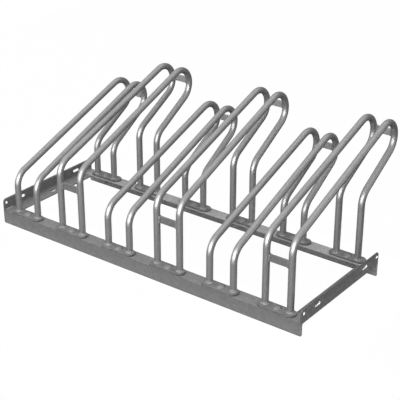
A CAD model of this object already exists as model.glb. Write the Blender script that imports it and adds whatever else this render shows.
"""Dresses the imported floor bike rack: bent steel tubes, galvanised finishes, studio and camera.

Sizes are in metres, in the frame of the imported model: X runs along the rack, +Y is the back
and Z is up. The tubes are bent here again, smooth, along the same route as the solids.
"""

from __future__ import annotations

import logging
import math
from collections.abc import Callable, Hashable
from dataclasses import dataclass, field
from enum import Enum

import bpy
from mathutils import Matrix, Vector

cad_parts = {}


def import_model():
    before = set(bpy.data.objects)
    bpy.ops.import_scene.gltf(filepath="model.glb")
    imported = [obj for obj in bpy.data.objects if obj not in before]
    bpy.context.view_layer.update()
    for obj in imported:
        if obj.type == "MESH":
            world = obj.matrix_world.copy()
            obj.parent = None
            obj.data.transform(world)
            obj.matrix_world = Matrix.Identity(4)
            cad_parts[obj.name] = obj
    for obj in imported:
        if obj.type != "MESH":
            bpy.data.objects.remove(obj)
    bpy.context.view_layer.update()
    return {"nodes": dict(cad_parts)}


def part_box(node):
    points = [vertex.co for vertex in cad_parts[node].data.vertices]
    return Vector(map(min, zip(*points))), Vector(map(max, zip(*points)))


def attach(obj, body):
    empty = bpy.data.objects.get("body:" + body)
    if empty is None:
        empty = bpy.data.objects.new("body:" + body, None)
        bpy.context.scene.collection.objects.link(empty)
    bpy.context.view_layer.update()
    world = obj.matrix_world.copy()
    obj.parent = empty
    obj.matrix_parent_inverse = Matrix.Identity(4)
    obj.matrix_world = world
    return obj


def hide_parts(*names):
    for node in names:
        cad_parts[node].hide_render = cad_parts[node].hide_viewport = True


LOG = logging.getLogger("bike_rack")

MM = 0.001
PLACES = 6
QUARTER = math.pi / 2

# Points closer than this are merged, and a coordinate smaller than NEAR counts as zero.
MERGE = 0.01 * MM
NEAR = 0.001 * MM

# Edges that turn by less than these angles are shaded smooth.
SMOOTH_STEEL = math.radians(40)
SMOOTH_WELD = math.radians(60)

# The skin's tone adds up from its crystals, its dull patches and its grain. Below
# DARK_TONE it has the dark colour.
CRYSTAL_SHARE = 0.35
GRAIN_SHARE = 0.5
DARK_TONE = 0.45

# Dirt lies where less than SEAM_OPEN of the surroundings is open, and is full at SEAM_SHUT.
SEAM_OPEN = 0.92
SEAM_SHUT = 0.3

# The darkest zinc is rougher than the mean, and the lightest smoother.
ROUGHER = 0.08
SMOOTHER = 0.06
ROUGH_FROM_TONE = 0.4

# How far the fine relief shows, and how many rays feel for seams and edges.
RELIEF_STRENGTH = 0.5
SEAM_RAYS = 16
EDGE_RAYS = 4


class Side(Enum):
    """The two sides of a wheel place, by the sign of their X direction."""

    LEFT = -1
    RIGHT = 1


class End(Enum):
    """The two ends of a wheel place, by the sign of their Y direction."""

    FRONT = -1
    REAR = 1


class Height(Enum):
    """The two heights of the tube pairs, by how many rises they are lifted."""

    LOW = 0
    HIGH = 1


def linear_colour(code: str) -> tuple[float, float, float, float]:
    """Turns an sRGB hex colour into the linear colour that a shader socket takes.

    Args:
        code: Six hex digits after a hash sign.

    Returns:
        Linear red, green, blue and an alpha of one.
    """
    channels = [int(code[i : i + 2], 16) / 255 for i in (1, 3, 5)]
    # The sRGB curve has a straight foot and a power of 2.4 above it.
    red, green, blue = (
        c / 12.92 if c <= 0.04045 else ((c + 0.055) / 1.055) ** 2.4 for c in channels
    )
    return (red, green, blue, 1.0)


def add_node(
    tree: bpy.types.NodeTree,
    kind: str,
    settings: dict | None = None,
    **links: object,
) -> bpy.types.Node:
    """Adds one shader node with its settings, socket values and links.

    Args:
        tree: The node tree to add to.
        kind: The node's type name.
        settings: Properties of the node itself, such as its operation.
        **links: Socket names with underscores for spaces, or n and the socket's number,
            each with a value or an output socket.

    Returns:
        The new node.
    """
    node = tree.nodes.new(kind)
    for name, value in (settings or {}).items():
        setattr(node, name, value)
    for name, value in links.items():
        numbered = name[0] == "n" and name[1:].isdigit()
        socket = node.inputs[int(name[1:]) if numbered else name.replace("_", " ")]
        if isinstance(value, bpy.types.NodeSocket):
            tree.links.new(value, socket)
        else:
            socket.default_value = value
    return node


def new_tree(owner: bpy.types.Material | bpy.types.World) -> bpy.types.NodeTree:
    """Switches a material's or world's nodes on and empties their tree.

    Args:
        owner: The material or world.

    Returns:
        Its empty node tree.
    """
    owner.use_nodes = True
    owner.node_tree.nodes.clear()
    return owner.node_tree


def apply_places(parts: list[bpy.types.Object]) -> bpy.types.Object:
    """Moves the places of parts into their meshes and joins them into one object.

    Args:
        parts: The parts, in place.

    Returns:
        The joined object, which stays selected and active.
    """
    bpy.ops.object.select_all(action="DESELECT")
    for part in parts:
        part.select_set(True)
    bpy.context.view_layer.objects.active = parts[0]
    bpy.ops.object.transform_apply(location=True, rotation=True, scale=True)
    if len(parts) > 1:
        bpy.ops.object.join()
    return bpy.context.view_layer.objects.active


def copy_of(first: bpy.types.Object) -> bpy.types.Object:
    """Copies a shape together with its mesh.

    Args:
        first: The shape, not yet in place.

    Returns:
        The copy.
    """
    part = first.copy()
    part.data = first.data.copy()
    bpy.context.collection.objects.link(part)
    return part


def model_once(
    kinds: list[Hashable], model: Callable[..., bpy.types.Object]
) -> list[bpy.types.Object]:
    """Models the first piece of each kind and copies it where that kind comes again.

    Args:
        kinds: The kind of each piece, in order.
        model: Models a piece of one kind, not yet in place.

    Returns:
        One shape for each entry.
    """
    first: dict[Hashable, bpy.types.Object] = {}
    made = []
    for kind in kinds:
        if kind in first:
            made.append(copy_of(first[kind]))
        else:
            first[kind] = model(kind)
            made.append(first[kind])
    return made


@dataclass(frozen=True)
class GalvanisedFinish:
    """Steel that was dipped in molten zinc: a grey crystalline skin, cloudy and slightly lumpy.

    Attributes:
        title: Name of the material.
        light: The skin's paler crystals, as sRGB hex.
        dark: Its darker crystals and dull patches.
        metallic: How far the skin is still bare metal rather than dull zinc oxide.
        roughness: Mean roughness of the skin.
        crystal: Width of a zinc crystal.
        cloud: Width of the dull patches.
        grain: Width of the fine pits and dross.
        relief: Height of the fine relief.
        edge: Radius that the zinc gives to sharp edges.
        cloudiness: How much the dull patches show.
        grime: Colour of the dirt and ash that stay in the seams.
        seam: How far that dirt reaches out of a seam.
        dirt: How dark that dirt is, from 0 to 1.
        rim: How bright the skin mirrors at a glancing angle; the dull oxide keeps it low.
    """

    title: str
    light: str
    dark: str
    metallic: float = 0.6
    roughness: float = 0.5
    crystal: float = 7 * MM
    cloud: float = 60 * MM
    grain: float = 1.6 * MM
    relief: float = 0.12 * MM
    edge: float = 0.6 * MM
    cloudiness: float = 0.6
    grime: str = "#2e2e2e"
    seam: float = 7 * MM
    dirt: float = 0.6
    rim: float = 0.45

    def material(self) -> bpy.types.Material:
        """Builds the material, or finds it where it is there already.

        Returns:
            The material.
        """
        found = bpy.data.materials.get(self.title)
        if found:
            return found
        made = bpy.data.materials.new(self.title)
        tree = new_tree(made)
        place = add_node(tree, "ShaderNodeTexCoord").outputs["Object"]
        crystals = add_node(
            tree, "ShaderNodeTexVoronoi", {"feature": "F1"},
            Vector=place, Scale=1 / self.crystal, Randomness=1.0,
        )
        facet = add_node(tree, "ShaderNodeSeparateColor", None, Color=crystals.outputs["Color"])
        clouds = add_node(
            tree, "ShaderNodeTexNoise", None,
            Vector=place, Scale=1 / self.cloud, Detail=3.0, Roughness=0.55,
        )
        grain = add_node(
            tree, "ShaderNodeTexNoise", None,
            Vector=place, Scale=1 / self.grain, Detail=2.0, Roughness=0.6,
        )
        tone: bpy.types.NodeSocket | float = 0.0
        for layer, share in (
            (facet.outputs["Red"], CRYSTAL_SHARE),
            (clouds.outputs["Fac"], self.cloudiness),
            (grain.outputs["Fac"], GRAIN_SHARE),
        ):
            tone = add_node(
                tree, "ShaderNodeMath", {"operation": "MULTIPLY_ADD", "use_clamp": True},
                n0=layer, n1=share, n2=tone,
            ).outputs[0]
        ramp = add_node(tree, "ShaderNodeValToRGB", None, Fac=tone)
        darkest, lightest = ramp.color_ramp.elements
        darkest.position, darkest.color = DARK_TONE, linear_colour(self.dark)
        lightest.position, lightest.color = 1.0, linear_colour(self.light)
        hollow = add_node(
            tree, "ShaderNodeAmbientOcclusion", {"samples": SEAM_RAYS}, Distance=self.seam,
        )
        ash = add_node(
            tree, "ShaderNodeMapRange", None,
            Value=hollow.outputs["AO"], From_Min=SEAM_SHUT, From_Max=SEAM_OPEN,
            To_Min=self.dirt, To_Max=0.0,
        )
        skin = add_node(
            tree, "ShaderNodeMix", {"data_type": "RGBA"},
            n0=ash.outputs[0], n6=ramp.outputs[0], n7=linear_colour(self.grime),
        )
        rough = add_node(
            tree, "ShaderNodeMapRange", None,
            Value=tone, From_Min=ROUGH_FROM_TONE, From_Max=1.0,
            To_Min=self.roughness + ROUGHER, To_Max=self.roughness - SMOOTHER,
        )
        rounded = add_node(tree, "ShaderNodeBevel", {"samples": EDGE_RAYS}, Radius=self.edge)
        bump = add_node(
            tree, "ShaderNodeBump", None,
            Height=grain.outputs["Fac"], Strength=RELIEF_STRENGTH, Distance=self.relief,
            Normal=rounded.outputs[0],
        )
        shader = add_node(
            tree, "ShaderNodeBsdfPrincipled", None,
            Base_Color=skin.outputs[2], Metallic=self.metallic,
            Roughness=rough.outputs[0], Normal=bump.outputs[0],
            Specular_Tint=(self.rim, self.rim, self.rim, 1.0),
        )
        add_node(tree, "ShaderNodeOutputMaterial", None, Surface=shader.outputs[0])
        return made


# Rolled angle takes a thick dull coat: soft cloudy patches, hardly any mirror, pale rounded edges.
ANGLE_ZINC = GalvanisedFinish(
    "galvanised hot-rolled angle", "#727272", "#626262",
    metallic=0.12, roughness=0.5, cloudiness=0.4, edge=1.6 * MM, seam=5 * MM,
)
# The right side rail is the dullest piece: an almost plain dark grey, which its bright holes break.
SIDE_ZINC = GalvanisedFinish(
    "galvanised hot-rolled angle, dull", "#5e5e5e", "#4e4e4e",
    metallic=0.1, roughness=0.55, cloudiness=0.3, edge=1.6 * MM, seam=5 * MM,
)
# The rear rail kept a paler coat, so it stands out behind the legs.
REAR_ZINC = GalvanisedFinish(
    "galvanised hot-rolled angle, pale", "#979797", "#818181",
    metallic=0.12, roughness=0.5, cloudiness=0.4, edge=1.6 * MM, seam=5 * MM,
)
# Tube steel takes a thin bright coat, so a soft light runs along it as one long highlight.
TUBE_ZINC = GalvanisedFinish(
    "galvanised welded tube", "#8e8e8e", "#808080",
    metallic=0.62, roughness=0.37, crystal=5 * MM, grain=1.2 * MM, relief=0.012 * MM,
)
# The plates are a shade duller than the flange they lie on, with a thin light line at the edge.
FLAT_ZINC = GalvanisedFinish(
    "galvanised flat bar", "#6e6e6e", "#585858",
    metallic=0.15, roughness=0.42, edge=1.6 * MM, seam=4 * MM, dirt=0.8,
)
# The narrow cross bars show as clear pale tabs between the darker tubes.
BAR_ZINC = GalvanisedFinish(
    "galvanised narrow flat bar", "#9a9a9a", "#848484",
    metallic=0.2, roughness=0.46, seam=4 * MM,
)
# Zinc that ran together in a hole is almost white, so the small holes read as bright dots.
LIP_ZINC = GalvanisedFinish(
    "bright zinc lip", "#f0f0f0", "#d8d8d8", metallic=0.3, roughness=0.35,
    crystal=2 * MM, grain=0.8 * MM, relief=0.02 * MM, seam=0.5 * MM,
)
# Weld metal is rough and lumpy, with hardly any mirror, so each bead shows one soft pale patch.
WELD_ZINC = GalvanisedFinish(
    "galvanised weld metal", "#868686", "#707070",
    metallic=0.1, roughness=0.68, crystal=3 * MM, relief=0.06 * MM, seam=2 * MM,
)
# The bolt heads are smooth and satin: one soft spot of light on the side that faces the lamp.
BOLT_ZINC = GalvanisedFinish(
    "zinc-plated fastener steel", "#848484", "#707070",
    metallic=0.55, roughness=0.36, crystal=3 * MM, relief=0.01 * MM, seam=5 * MM, dirt=0.9,
)


@dataclass(frozen=True)
class WheelPlaces:
    """Where the wheel places and the feet of their tubes stand.

    Attributes:
        middle_y: Y of the middle of the base frame.
        pitch: Distance from place to place.
        front_spacing: Distance between the front legs of a pair, from middle to middle.
        rear_spacing: The same between its rear legs.
        foot_y: Distance of the feet from the middle of the frame, at both ends.
        foot_z: Height of the feet, on top of the plates.
    """

    middle_y: float
    pitch: float = 176 * MM
    front_spacing: float = 76.5 * MM
    rear_spacing: float = 68 * MM
    foot_y: float = 171.5 * MM
    foot_z: float = 45 * MM

    @property
    def toe_in(self) -> float:
        """The angle by which a tube turns towards its partner, front to back."""
        return math.atan((self.front_spacing - self.rear_spacing) / 2 / (2 * self.foot_y))

    def height(self, place: int) -> Height:
        """Tells how high the pair at a place is; every second one is high."""
        return Height.HIGH if place % 2 == 0 else Height.LOW

    def middle_x(self, place: int) -> float:
        """Gives the X of the middle of a place, counted from 1 at the left."""
        return (place - (PLACES + 1) / 2) * self.pitch

    def foot(self, place: int, side: Side, end: End) -> Vector:
        """Finds the middle of one foot.

        Args:
            place: Number of the place.
            side: Which tube of the pair.
            end: Its front or rear leg.

        Returns:
            The foot's middle, on top of the plate.
        """
        spacing = self.front_spacing if end is End.FRONT else self.rear_spacing
        return Vector((
            self.middle_x(place) + side.value * spacing / 2,
            self.middle_y + end.value * self.foot_y,
            self.foot_z,
        ))


@dataclass
class TubeLoops:
    """The twelve bent tubes, each swept from its front foot to its rear foot.

    Attributes:
        places: Where their feet stand.
        radius: Outer radius of the tube.
        slimming: How much slimmer the tube is made, so that it stays inside the solids' box.
        wall: Thickness of its wall.
        bend: Radius of its bends, at its middle line.
        front_bend_z: Height at which the front leg and the long diagonal would meet.
        rear_bend_z: Height at which the rear leg and the short diagonal would meet.
        apex_z: Height of the middle of the top bend in a low pair.
        apex_reach: Distance of that middle behind the front leg.
        high_rise: How much higher a high pair is.
        high_reach: How much farther back its top bend lies.
        rim: Number of points round the tube.
        ring_degrees: Degrees of bend between two rings of points.
        fewest_rings: The fewest rings in one bend.
    """

    places: WheelPlaces
    radius: float = 9.5 * MM
    slimming: float = 0.05 * MM
    wall: float = 2 * MM
    bend: float = 49.5 * MM
    front_bend_z: float = 157 * MM
    rear_bend_z: float = 153 * MM
    apex_z: float = 276 * MM
    apex_reach: float = 451.5 * MM
    high_rise: float = 81 * MM
    high_reach: float = 5.5 * MM
    rim: int = 40
    ring_degrees: float = 4.0
    fewest_rings: int = 4
    _heading: float = field(default=0.0, init=False)
    _tip: Vector = field(default_factory=Vector, init=False)

    def _slope(self, across: float, up: float, above: int) -> float:
        """Slope of a diagonal that touches the top bend.

        Args:
            across: Horizontal distance from its lower corner to the bend's middle.
            up: Height of the bend's middle over that corner.
            above: 1 where it passes over the bend's middle, -1 where it passes under.

        Returns:
            The slope in radians.
        """
        return math.atan2(up, across) + above * math.asin(self.bend / math.hypot(across, up))

    def _run(self, length: float) -> None:
        """Extrudes the open rim straight on.

        Args:
            length: How far.
        """
        step = Vector((math.sin(self._heading), 0, math.cos(self._heading))) * length
        bpy.ops.mesh.extrude_region_move(TRANSFORM_OT_translate={"value": step})
        self._tip += step

    def _turn(self, angle: float, towards: int) -> None:
        """Spins the open rim round a bend.

        Args:
            angle: Angle of the bend.
            towards: 1 turns it clockwise as seen from -Y, -1 the other way.
        """
        sideways = Vector((math.cos(self._heading), 0, -math.sin(self._heading)))
        centre = self._tip + sideways * (self.bend * towards)
        steps = max(self.fewest_rings, round(math.degrees(angle) / self.ring_degrees))
        bpy.ops.mesh.spin(steps=steps, angle=-angle * towards, center=centre, axis=(0, 1, 0))
        self._heading += angle * towards
        arm = self._tip - centre
        self._tip = centre + Matrix.Rotation(angle * towards, 3, "Y") @ arm

    def bend_tube(self, height: Height) -> bpy.types.Object:
        """Bends one tube along X, with its front leg on the Z axis.

        Args:
            height: Whether it is for a low or a high pair.

        Returns:
            The tube with its wall and finish, not yet in place.
        """
        foot_z = self.places.foot_z
        lift = height.value * self.high_rise
        across = self.apex_reach + height.value * self.high_reach
        past = across - 2 * self.places.foot_y / math.cos(self.places.toe_in)
        front_up = self.apex_z - self.front_bend_z
        rear_up = self.apex_z - self.rear_bend_z
        front = self._slope(across, front_up, 1)
        rear = self._slope(past, rear_up, -1)
        front_cut = self.bend * math.tan((QUARTER - front) / 2)
        rear_cut = self.bend * math.tan((QUARTER - rear) / 2)
        bpy.ops.object.select_all(action="DESELECT")
        bpy.ops.mesh.primitive_circle_add(
            vertices=self.rim, radius=self.radius - self.slimming, fill_type="NOTHING",
            location=(0, 0, foot_z),
        )
        tube = bpy.context.object
        bpy.ops.object.transform_apply(location=True, rotation=True, scale=True)
        self._heading, self._tip = 0.0, Vector((0, 0, foot_z))
        bpy.ops.object.mode_set(mode="EDIT")
        bpy.ops.mesh.select_all(action="SELECT")
        self._run(self.front_bend_z + lift - foot_z - front_cut)
        self._turn(QUARTER - front, 1)
        self._run(math.sqrt(across**2 + front_up**2 - self.bend**2) - front_cut)
        self._turn(math.pi + front - rear, 1)
        self._run(math.sqrt(past**2 + rear_up**2 - self.bend**2) - rear_cut)
        self._turn(QUARTER - rear, -1)
        self._run(self.rear_bend_z + lift - foot_z - rear_cut)
        bpy.ops.mesh.select_all(action="SELECT")
        bpy.ops.mesh.remove_doubles(threshold=MERGE)
        bpy.ops.mesh.normals_make_consistent(inside=False)
        bpy.ops.object.mode_set(mode="OBJECT")
        wall = tube.modifiers.new("wall", "SOLIDIFY")
        wall.thickness = self.wall
        wall.offset = -1
        wall.use_even_offset = True
        bpy.ops.object.modifier_apply(modifier=wall.name)
        bpy.ops.object.shade_smooth_by_angle(angle=SMOOTH_STEEL)
        tube.data.materials.append(TUBE_ZINC.material())
        return tube

    def build(self) -> list[bpy.types.Object]:
        """Bends a low and a high tube, copies them and puts them in place of the nodes.

        Returns:
            The twelve tubes.
        """
        spots = [(place, side) for place in range(1, PLACES + 1) for side in Side]
        tubes = model_once([self.places.height(place) for place, _ in spots], self.bend_tube)
        for tube, (place, side) in zip(tubes, spots):
            word = side.name.lower()
            tube.name = f"tube_{place}_{word}"
            foot = self.places.foot(place, side, End.FRONT)
            tube.location = (foot.x, foot.y, 0)
            tube.rotation_euler = (0, 0, QUARTER + side.value * self.places.toe_in)
            apply_places([tube])
            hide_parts(f"loop_{place}_{word}")
            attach(tube, "root")
        return tubes


@dataclass
class WeldMetal:
    """Weld beads round the feet of the tubes, and the lumps that the zinc bath leaves.

    Attributes:
        places: Where the feet stand.
        tube_radius: Outer radius of the tubes.
        bead: Width of a bead on the plate.
        climb: How far a bead climbs the tube.
        sink: How far a bead reaches into the tube.
        bed: How far it reaches into the plate.
        swell: How much its hollow slope swells out at the foot.
        ripple: Height of the ripples that the welding leaves.
        ripple_width: Width of those ripples.
        turn: By how many radians each bead is turned on from the last, so that no two look alike.
        rim: Number of points round a bead.
        rings: Number of rings up its slope.
        dab_reach: Distance of the dab on a rest bar from the middle of its left tube.
        dab_y: Distance of the dab in front of the middle of the frame.
        dab_z: Height of the dab.
        dab_radii: Its half sizes along X, Y and Z.
        drips: For each drip at a plate's front edge, its shift from the plate's middle, how
            far that strays from place to place, and after how many places it repeats.
        drip_y: Distance of the drips in front of the middle of the frame.
        drip_z: Height of the drips.
        drip_radii: Their half sizes along X, Y and Z.
        lump_ripple: Ripple on a dab or drip, as a share of its smallest half size.
        lump_segments: Number of points round a dab or drip.
        lump_rings: Number of its rings.
    """

    places: WheelPlaces
    tube_radius: float
    bead: float = 2.8 * MM
    climb: float = 8.5 * MM
    sink: float = 0.2 * MM
    bed: float = 0.1 * MM
    swell: float = 0.1 * MM
    ripple: float = 0.6 * MM
    ripple_width: float = 5 * MM
    turn: float = 1.9
    rim: int = 72
    rings: int = 8
    dab_reach: float = 11 * MM
    dab_y: float = 175 * MM
    dab_z: float = 184 * MM
    dab_radii: tuple[float, float, float] = (3.2 * MM, 2.2 * MM, 4.5 * MM)
    drips: tuple[tuple[float, float, int], ...] = (
        (-17 * MM, 3 * MM, 3), (2 * MM, -4 * MM, 2), (14 * MM, 2 * MM, 3),
    )
    drip_y: float = 191.4 * MM
    drip_z: float = 44.2 * MM
    drip_radii: tuple[float, float, float] = (2.2 * MM, 1.0 * MM, 1.3 * MM)
    lump_ripple: float = 0.7
    lump_segments: int = 24
    lump_rings: int = 14
    _clouds: bpy.types.Texture | None = field(default=None, init=False)

    def _ruffle(self, made: bpy.types.Object, height: float) -> None:
        """Gives a finished shape its uneven surface.

        Args:
            made: The piece, still at the origin.
            height: Height of the unevenness.
        """
        if self._clouds is None:
            self._clouds = bpy.data.textures.new("weld ripples", type="CLOUDS")
            self._clouds.noise_scale = self.ripple_width
        waves = made.modifiers.new("ripples", "DISPLACE")
        waves.texture = self._clouds
        waves.texture_coords = "LOCAL"
        waves.strength = height
        waves.mid_level = 0.5
        bpy.ops.object.modifier_apply(modifier=waves.name)

    def _profile(self) -> list[tuple[float, float]]:
        """Draws a bead's section: up its hollow slope, down the tube and back along the plate.

        Returns:
            Radius and height of each point after the first, which is the bead's outer foot.
        """
        inner = self.tube_radius - self.sink
        outer = self.tube_radius + self.bead
        slope = []
        for step in range(1, self.rings + 1):
            share = step / self.rings
            hollow = inner + (outer - inner) * (1 - math.sin(share * QUARTER))
            level = self.climb * (1 - math.cos(share * QUARTER))
            slope.append((hollow + self.swell * (1 - share), level))
        return [*slope, (inner, 0.0), (outer, 0.0)]

    def _ring(self) -> bpy.types.Object:
        """Models one bead round a tube, standing on z = 0.

        Returns:
            The bead, closed all round.
        """
        size, height = self.tube_radius + self.bead, 0.0
        bpy.ops.object.select_all(action="DESELECT")
        bpy.ops.mesh.primitive_circle_add(
            vertices=self.rim, radius=size, fill_type="NOTHING", location=(0, 0, 0)
        )
        made = bpy.context.object
        bpy.ops.object.mode_set(mode="EDIT")
        bpy.ops.mesh.select_all(action="SELECT")
        for radius, level in self._profile():
            step, share = (0, 0, level - height), radius / size
            bpy.ops.mesh.extrude_region_move(TRANSFORM_OT_translate={"value": step})
            bpy.ops.transform.resize(value=(share, share, 1), center_override=(0, 0, 0))
            size, height = radius, level
        bpy.ops.mesh.select_all(action="SELECT")
        bpy.ops.mesh.remove_doubles(threshold=MERGE)
        bpy.ops.mesh.normals_make_consistent(inside=False)
        bpy.ops.object.mode_set(mode="OBJECT")
        self._ruffle(made, self.ripple)
        return made

    def _finish(self, parts: list[bpy.types.Object], name: str) -> bpy.types.Object:
        """Joins copies into one named piece with its finish.

        Args:
            parts: The copies, in place.
            name: The piece's name.

        Returns:
            The joined piece.
        """
        made = apply_places(parts)
        made.name = name
        bpy.ops.object.shade_smooth_by_angle(angle=SMOOTH_WELD)
        made.data.materials.clear()
        made.data.materials.append(WELD_ZINC.material())
        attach(made, "root")
        return made

    def beads(self, end: End) -> bpy.types.Object:
        """Lays the beads round all feet at the front or the rear.

        Args:
            end: Which feet.

        Returns:
            The beads, as one piece.
        """
        feet = [
            self.places.foot(place, side, end) for place in range(1, PLACES + 1) for side in Side
        ]
        first = self._ring()
        parts = [first] + [copy_of(first) for _ in feet[1:]]
        for index, (part, foot) in enumerate(zip(parts, feet)):
            part.location = foot - Vector((0, 0, self.bed))
            part.rotation_euler = (0, 0, index * self.turn)
        word = end.name.lower()
        made = self._finish(parts, f"{word}_foot_beads")
        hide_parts(f"{word}_foot_welds")
        return made

    def lumps(
        self, name: str, radii: tuple[float, float, float], spots: list[Vector]
    ) -> bpy.types.Object:
        """Adds a group of lumps of one size.

        Args:
            name: The piece's name.
            radii: Their half sizes along X, Y and Z.
            spots: Their middles.

        Returns:
            The lumps, as one piece.
        """
        bpy.ops.object.select_all(action="DESELECT")
        bpy.ops.mesh.primitive_uv_sphere_add(
            segments=self.lump_segments, ring_count=self.lump_rings, radius=1, location=(0, 0, 0)
        )
        first = bpy.context.object
        first.scale = radii
        bpy.ops.object.transform_apply(location=True, rotation=True, scale=True)
        self._ruffle(first, min(radii) * self.lump_ripple)
        parts = [first] + [copy_of(first) for _ in spots[1:]]
        for part, spot in zip(parts, spots):
            part.location = spot
        return self._finish(parts, name)

    def build(self) -> list[bpy.types.Object]:
        """Makes all beads and lumps.

        Returns:
            The four pieces.
        """
        dabs, drips = [], []
        for place in range(1, PLACES + 1):
            if self.places.height(place) is Height.HIGH:
                tube_x = self.places.foot(place, Side.LEFT, End.FRONT).x
                dabs.append(Vector((
                    tube_x + self.dab_reach, self.places.middle_y - self.dab_y, self.dab_z,
                )))
            for shift, stray, repeat in self.drips:
                drips.append(Vector((
                    self.places.middle_x(place) + shift + stray * (place % repeat),
                    self.places.middle_y - self.drip_y,
                    self.drip_z,
                )))
        return [
            self.beads(End.FRONT),
            self.beads(End.REAR),
            self.lumps("rest_bar_dabs", self.dab_radii, dabs),
            self.lumps("plate_edge_drips", self.drip_radii, drips),
        ]


@dataclass(frozen=True)
class Opening:
    """A round hole or a slot in a side rail's standing leg.

    Attributes:
        word: Its kind, hole or slot.
        length: Its overall length along Y.
        across: Its width.
        offset: Distance of its middle from the middle of the rail.
        height: Height of its middle over the foot of the rail.
    """

    word: str
    length: float
    across: float
    offset: float
    height: float


@dataclass
class HoleLips:
    """The bright zinc that stays in the side rails' holes and slots when the rack drains.

    Attributes:
        middle_y: Y of the middle of the base frame.
        end_y: Distance of its front and rear faces from that middle.
        hole: Diameter of the round holes.
        hole_inset: Distance of a hole's middle from the end of its rail.
        hole_height: Height of a hole's middle over the foot of its rail.
        slot_width: Width of the slots.
        slot_length: Overall length of the slots.
        slot_offset: Distance of a slot's middle from the middle of its rail.
        slot_height: Height of a slot's middle over the foot of its rail.
        film: Thickness of the zinc.
        depth: Thickness of the steel.
        shy: How far inside the steel's faces the zinc ends.
        soft: How far its edges are rounded.
        soft_steps: Number of facets across a rounded edge.
        sharp: Edges that turn by less than this angle aren't rounded.
        rim: Number of points round a hole.
    """

    middle_y: float
    end_y: float
    hole: float = 9 * MM
    hole_inset: float = 10 * MM
    hole_height: float = 27 * MM
    slot_width: float = 9 * MM
    slot_length: float = 25 * MM
    slot_offset: float = 119 * MM
    slot_height: float = 24 * MM
    film: float = 0.35 * MM
    depth: float = 4 * MM
    shy: float = 0.02 * MM
    soft: float = 0.35 * MM / 3
    soft_steps: int = 2
    sharp: float = math.radians(50)
    rim: int = 32

    def lining(self, opening: Opening) -> bpy.types.Object:
        """Models the zinc in one kind of opening.

        Args:
            opening: The opening's size.

        Returns:
            The lining with its finish, at the origin.
        """
        bpy.ops.object.select_all(action="DESELECT")
        bpy.ops.mesh.primitive_circle_add(
            vertices=self.rim, radius=opening.across / 2, fill_type="NOTHING",
            location=(0, 0, 0), rotation=(0, QUARTER, 0),
        )
        made = bpy.context.object
        bpy.ops.object.transform_apply(location=True, rotation=True, scale=True)
        reach = (opening.length - opening.across) / 2
        for vertex in made.data.vertices:
            if abs(vertex.co.y) > NEAR:
                vertex.co.y += math.copysign(reach, vertex.co.y)
        bpy.ops.object.mode_set(mode="EDIT")
        bpy.ops.mesh.select_all(action="SELECT")
        full = self.depth - 2 * self.shy
        bpy.ops.transform.translate(value=(-full / 2, 0, 0))
        bpy.ops.mesh.extrude_region_move(TRANSFORM_OT_translate={"value": (full, 0, 0)})
        bpy.ops.mesh.select_all(action="SELECT")
        bpy.ops.mesh.normals_make_consistent(inside=False)
        bpy.ops.object.mode_set(mode="OBJECT")
        wall = made.modifiers.new("film", "SOLIDIFY")
        wall.thickness = self.film
        wall.offset = -1
        bpy.ops.object.modifier_apply(modifier=wall.name)
        soft = made.modifiers.new("soft", "BEVEL")
        soft.width = self.soft
        soft.segments = self.soft_steps
        soft.angle_limit = self.sharp
        bpy.ops.object.modifier_apply(modifier=soft.name)
        bpy.ops.object.shade_smooth_by_angle(angle=SMOOTH_STEEL)
        made.data.materials.append(LIP_ZINC.material())
        return made

    def build(self) -> list[bpy.types.Object]:
        """Lines every hole and slot in both side rails' standing legs.

        Returns:
            The eight linings.
        """
        hole_offset = self.end_y - self.hole_inset
        openings = (
            Opening("hole", self.hole, self.hole, hole_offset, self.hole_height),
            Opening(
                "slot", self.slot_length, self.slot_width, self.slot_offset, self.slot_height
            ),
        )
        spots = [(side, end, opening) for side in Side for end in End for opening in openings]
        linings = model_once([opening for _, _, opening in spots], self.lining)
        for made, (side, end, opening) in zip(linings, spots):
            low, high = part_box(f"side_rail_{side.name.lower()}")
            made.name = f"{opening.word}_lip_{side.name.lower()}_{end.name.lower()}"
            made.location = (
                high.x - self.depth / 2 if side is Side.RIGHT else low.x + self.depth / 2,
                self.middle_y + end.value * opening.offset,
                low.z + opening.height,
            )
            apply_places([made])
            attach(made, "root")
        return linings


@dataclass
class BaseFrame:
    """The welded angle frame, the foot plates, bars and fasteners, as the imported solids.

    Attributes:
        nodes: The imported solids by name.
    """

    nodes: dict[str, bpy.types.Object]

    def dress(self) -> None:
        """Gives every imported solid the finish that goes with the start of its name."""
        finishes = {
            "front_rail": ANGLE_ZINC,
            "rear_rail": REAR_ZINC,
            "side_rail_left": ANGLE_ZINC,
            "side_rail_right": SIDE_ZINC,
            "front_foot_plate": FLAT_ZINC,
            "rear_foot_plate": FLAT_ZINC,
            "apex_bar": BAR_ZINC,
            "rest_bar": ANGLE_ZINC,
            "foot_bolts": BOLT_ZINC,
            "foot_washers": BOLT_ZINC,
            "foot_nuts": BOLT_ZINC,
            "front_foot_welds": WELD_ZINC,
            "rear_foot_welds": WELD_ZINC,
            "bar_welds": WELD_ZINC,
            "corner_welds": WELD_ZINC,
            "loop": TUBE_ZINC,
        }
        for name, node in self.nodes.items():
            finish = next(f for start, f in finishes.items() if name.startswith(start))
            node.data.materials.clear()
            node.data.materials.append(finish.material())


@dataclass(frozen=True)
class SoftLamp:
    """A soft rectangular lamp.

    Attributes:
        name: Its name in the scene.
        place: Where it hangs.
        size: Its width and height.
        watts: Its power.
        target: The point it faces.
        mirrored_only: Whether it shows only in the shine of the metal and lights nothing else.
    """

    name: str
    place: tuple[float, float, float]
    size: tuple[float, float]
    watts: float
    target: tuple[float, float, float] = (0.0, 0.0, 0.2)
    mirrored_only: bool = False


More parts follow.
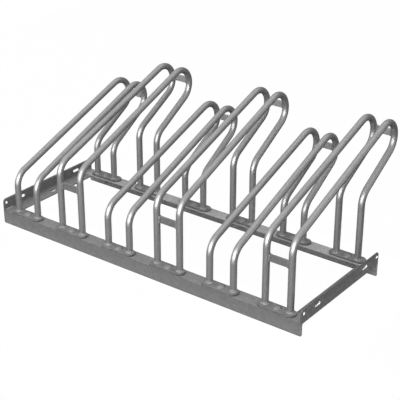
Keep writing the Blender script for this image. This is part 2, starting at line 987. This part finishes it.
@dataclass(frozen=True)
class Flag:
    """A grey cloth on a stand or on the floor, which gives metal its darker edges.

    Attributes:
        name: Its name in the scene.
        place: Its middle.
        size: Its width and height.
        turn: Its turn about Z in degrees, 0 facing along Y.
        cloth: The cloth's colour, as sRGB hex.
        lying: Whether it lies on the floor; it then throws no shadow.
    """

    name: str
    place: tuple[float, float, float]
    size: tuple[float, float]
    turn: float
    cloth: str = "#1c1c1c"
    lying: bool = False


@dataclass
class Studio:
    """White floor, soft lamps, grey cloths and the camera at the photograph's place.

    Attributes:
        frame_middle_y: Y of the middle of the base frame.
        focal: Lens length in millimetres.
        sensor: Width of the sensor in millimetres.
        far: How far the camera sees.
        eye: The camera's place, with Y counted from the middle of the base frame.
        yaw: Its turn to the right of the rack's front.
        pitch: Its tilt down.
        room_light: Strength of the even light from all round.
        ceiling_light: How much stronger it is straight overhead.
        ceiling_focus: How steeply it falls off from there to the horizon.
        floor_size: Length and width of the floor.
        floor_grey: How much light the floor throws back on the rack.
        floor_shade: How much the rack's shadow shows on the floor.
        floor_glow: How white the floor is to the camera.
        lamps: The soft lamps.
        flags: The grey cloths.
    """

    frame_middle_y: float
    focal: float = 100.602
    sensor: float = 36.0
    far: float = 100.0
    eye: tuple[float, float, float] = (1.75049, -2.22366, 1.5105)
    yaw: float = math.radians(37.18)
    pitch: float = math.radians(25.643)
    room_light: float = 0.03
    ceiling_light: float = 4.4
    ceiling_focus: float = 2.0
    floor_size: float = 60.0
    floor_grey: float = 0.5
    floor_shade: float = 0.025
    floor_glow: float = 0.98
    lamps: tuple[SoftLamp, ...] = (
        SoftLamp("front_panel", (0.6, -3.0, 1.0), (3.8, 0.8), 42),
        SoftLamp("gloss_wall", (0.6, -3.2, 1.5), (4.6, 2.6), 310, mirrored_only=True),
        SoftLamp("left_panel", (-3.0, -0.6, 0.6), (2.6, 0.9), 14),
        SoftLamp("right_panel", (2.85, 0.9, 0.6), (2.6, 0.9), 9),
    )
    flags: tuple[Flag, ...] = (
        Flag("flag_right", (3.0, 0.6, 1.5), (6.0, 3.0), 90, "#bcbcbc"),
        Flag("flag_back", (0.0, 3.4, 1.5), (8.0, 3.0), 0),
        Flag("card_front", (0.6, -1.75, 0.004), (6.0, 2.9), 0, "#686868", lying=True),
        Flag("card_inside", (0.0, 0.0, 0.004), (0.98, 0.3), 0, "#747474", lying=True),
        Flag("card_right", (2.35, 0.05, 0.004), (3.4, 0.68), 0, "#424242", lying=True),
        Flag("card_back", (1.0, 1.83, 0.004), (6.0, 3.2), 0, "#565656", lying=True),
    )

    def camera(self) -> None:
        """Adds the camera and makes it the scene's own."""
        back = Vector((
            math.sin(self.yaw) * math.cos(self.pitch),
            -math.cos(self.yaw) * math.cos(self.pitch),
            math.sin(self.pitch),
        ))
        bpy.ops.object.camera_add()
        camera = bpy.context.object
        camera.name = "photograph_camera"
        camera.data.lens = self.focal
        camera.data.sensor_width = self.sensor
        camera.data.clip_end = self.far
        camera.location = Vector(self.eye) + Vector((0, self.frame_middle_y, 0))
        camera.rotation_mode = "QUATERNION"
        camera.rotation_quaternion = (-back).to_track_quat("-Z", "Y")
        bpy.context.scene.camera = camera

    def light(self, lamp: SoftLamp) -> None:
        """Hangs one soft rectangular lamp.

        Args:
            lamp: The lamp's place, size and power.
        """
        bpy.ops.object.light_add(type="AREA", location=lamp.place)
        made = bpy.context.object
        made.name = lamp.name
        made.data.shape = "RECTANGLE"
        made.data.size, made.data.size_y = lamp.size
        made.data.energy = lamp.watts
        made.visible_diffuse = not lamp.mirrored_only
        made.rotation_mode = "QUATERNION"
        way = Vector(lamp.target) - Vector(lamp.place)
        made.rotation_quaternion = way.to_track_quat("-Z", "Y")

    def background_mix(self, tree: bpy.types.NodeTree) -> bpy.types.NodeSocket:
        """Adds the switch that is 1 for rays that should see the plain background.

        Args:
            tree: The node tree of the floor or the world.

        Returns:
            The switch's output.
        """
        path = add_node(tree, "ShaderNodeLightPath")
        seen = add_node(
            tree, "ShaderNodeMath", {"operation": "MAXIMUM"},
            n0=path.outputs["Is Camera Ray"], n1=path.outputs["Is Glossy Ray"],
        )
        return add_node(
            tree, "ShaderNodeMath", {"operation": "MAXIMUM"},
            n0=seen.outputs[0], n1=path.outputs["Is Transmission Ray"],
        ).outputs[0]

    def world(self) -> None:
        """Lights the room softly and shows it white behind the floor."""
        room = bpy.data.worlds.new("white studio")
        bpy.context.scene.world = room
        tree = new_tree(room)
        way = add_node(tree, "ShaderNodeTexCoord").outputs["Generated"]
        height = add_node(tree, "ShaderNodeSeparateXYZ", None, Vector=way).outputs["Z"]
        above = add_node(tree, "ShaderNodeMath", {"operation": "MAXIMUM"}, n0=height, n1=0.0)
        rise = add_node(
            tree, "ShaderNodeMath", {"operation": "POWER"},
            n0=above.outputs[0], n1=self.ceiling_focus,
        )
        level = add_node(
            tree, "ShaderNodeMath", {"operation": "MULTIPLY_ADD"},
            n0=rise.outputs[0], n1=self.ceiling_light, n2=self.room_light,
        )
        white = (1, 1, 1, 1)
        fill = add_node(
            tree, "ShaderNodeBackground", None, Color=white, Strength=level.outputs[0]
        )
        shown = add_node(tree, "ShaderNodeBackground", None, Color=white, Strength=1.0)
        mixed = add_node(
            tree, "ShaderNodeMixShader", None,
            n0=self.background_mix(tree), n1=fill.outputs[0], n2=shown.outputs[0],
        )
        add_node(tree, "ShaderNodeOutputWorld", None, Surface=mixed.outputs[0])

    def floor(self) -> None:
        """Lays the pale floor, white to the camera and still taking a faint shadow."""
        bpy.ops.mesh.primitive_plane_add(size=self.floor_size, location=(0, 0, 0))
        floor = bpy.context.object
        floor.name = "studio_floor"
        paint = bpy.data.materials.new("matt white floor paint")
        tree = new_tree(paint)
        matt, faint = (
            add_node(tree, "ShaderNodeBsdfDiffuse", None, Color=(grey, grey, grey, 1))
            for grey in (self.floor_grey, self.floor_shade)
        )
        glow = add_node(
            tree, "ShaderNodeEmission", None, Color=(1, 1, 1, 1), Strength=self.floor_glow
        )
        white = add_node(
            tree, "ShaderNodeAddShader", None, n0=faint.outputs[0], n1=glow.outputs[0]
        )
        mixed = add_node(
            tree, "ShaderNodeMixShader", None,
            n0=self.background_mix(tree), n1=matt.outputs[0], n2=white.outputs[0],
        )
        add_node(tree, "ShaderNodeOutputMaterial", None, Surface=mixed.outputs[0])
        floor.data.materials.append(paint)

    def stand(self, flag: Flag) -> None:
        """Sets up one flag.

        Args:
            flag: The flag's place, size and colour.
        """
        bpy.ops.mesh.primitive_plane_add(
            size=1, location=flag.place,
            rotation=(0 if flag.lying else QUARTER, 0, math.radians(flag.turn)),
        )
        made = bpy.context.object
        made.name = flag.name
        made.scale = (flag.size[0], flag.size[1], 1)
        cloth = bpy.data.materials.new(f"{flag.name} felt")
        cloth.use_nodes = True
        shader = cloth.node_tree.nodes["Principled BSDF"]
        shader.inputs["Base Color"].default_value = linear_colour(flag.cloth)
        shader.inputs["Roughness"].default_value = 1.0
        made.data.materials.append(cloth)
        made.visible_camera = False
        made.visible_shadow = not flag.lying

    def build(self) -> None:
        """Sets up the whole studio."""
        bpy.context.scene.view_settings.view_transform = "Standard"
        self.camera()
        self.world()
        self.floor()
        for flag in self.flags:
            self.stand(flag)
        for lamp in self.lamps:
            self.light(lamp)


def main() -> None:
    """Builds the rack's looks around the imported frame."""
    logging.basicConfig(level=logging.INFO, format="%(message)s")
    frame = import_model()
    front_y, rear_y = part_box("front_rail")[0].y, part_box("rear_rail")[1].y
    middle_y = (front_y + rear_y) / 2
    Studio(frame_middle_y=middle_y).build()
    BaseFrame(frame["nodes"]).dress()
    places = WheelPlaces(middle_y)
    loops = TubeLoops(places)
    pieces = loops.build()
    pieces += WeldMetal(places, loops.radius).build()
    pieces += HoleLips(middle_y, (rear_y - front_y) / 2).build()
    for piece in pieces:
        LOG.info("%s: %d faces", piece.name, len(piece.data.polygons))


if __name__ == "__main__":
    main()
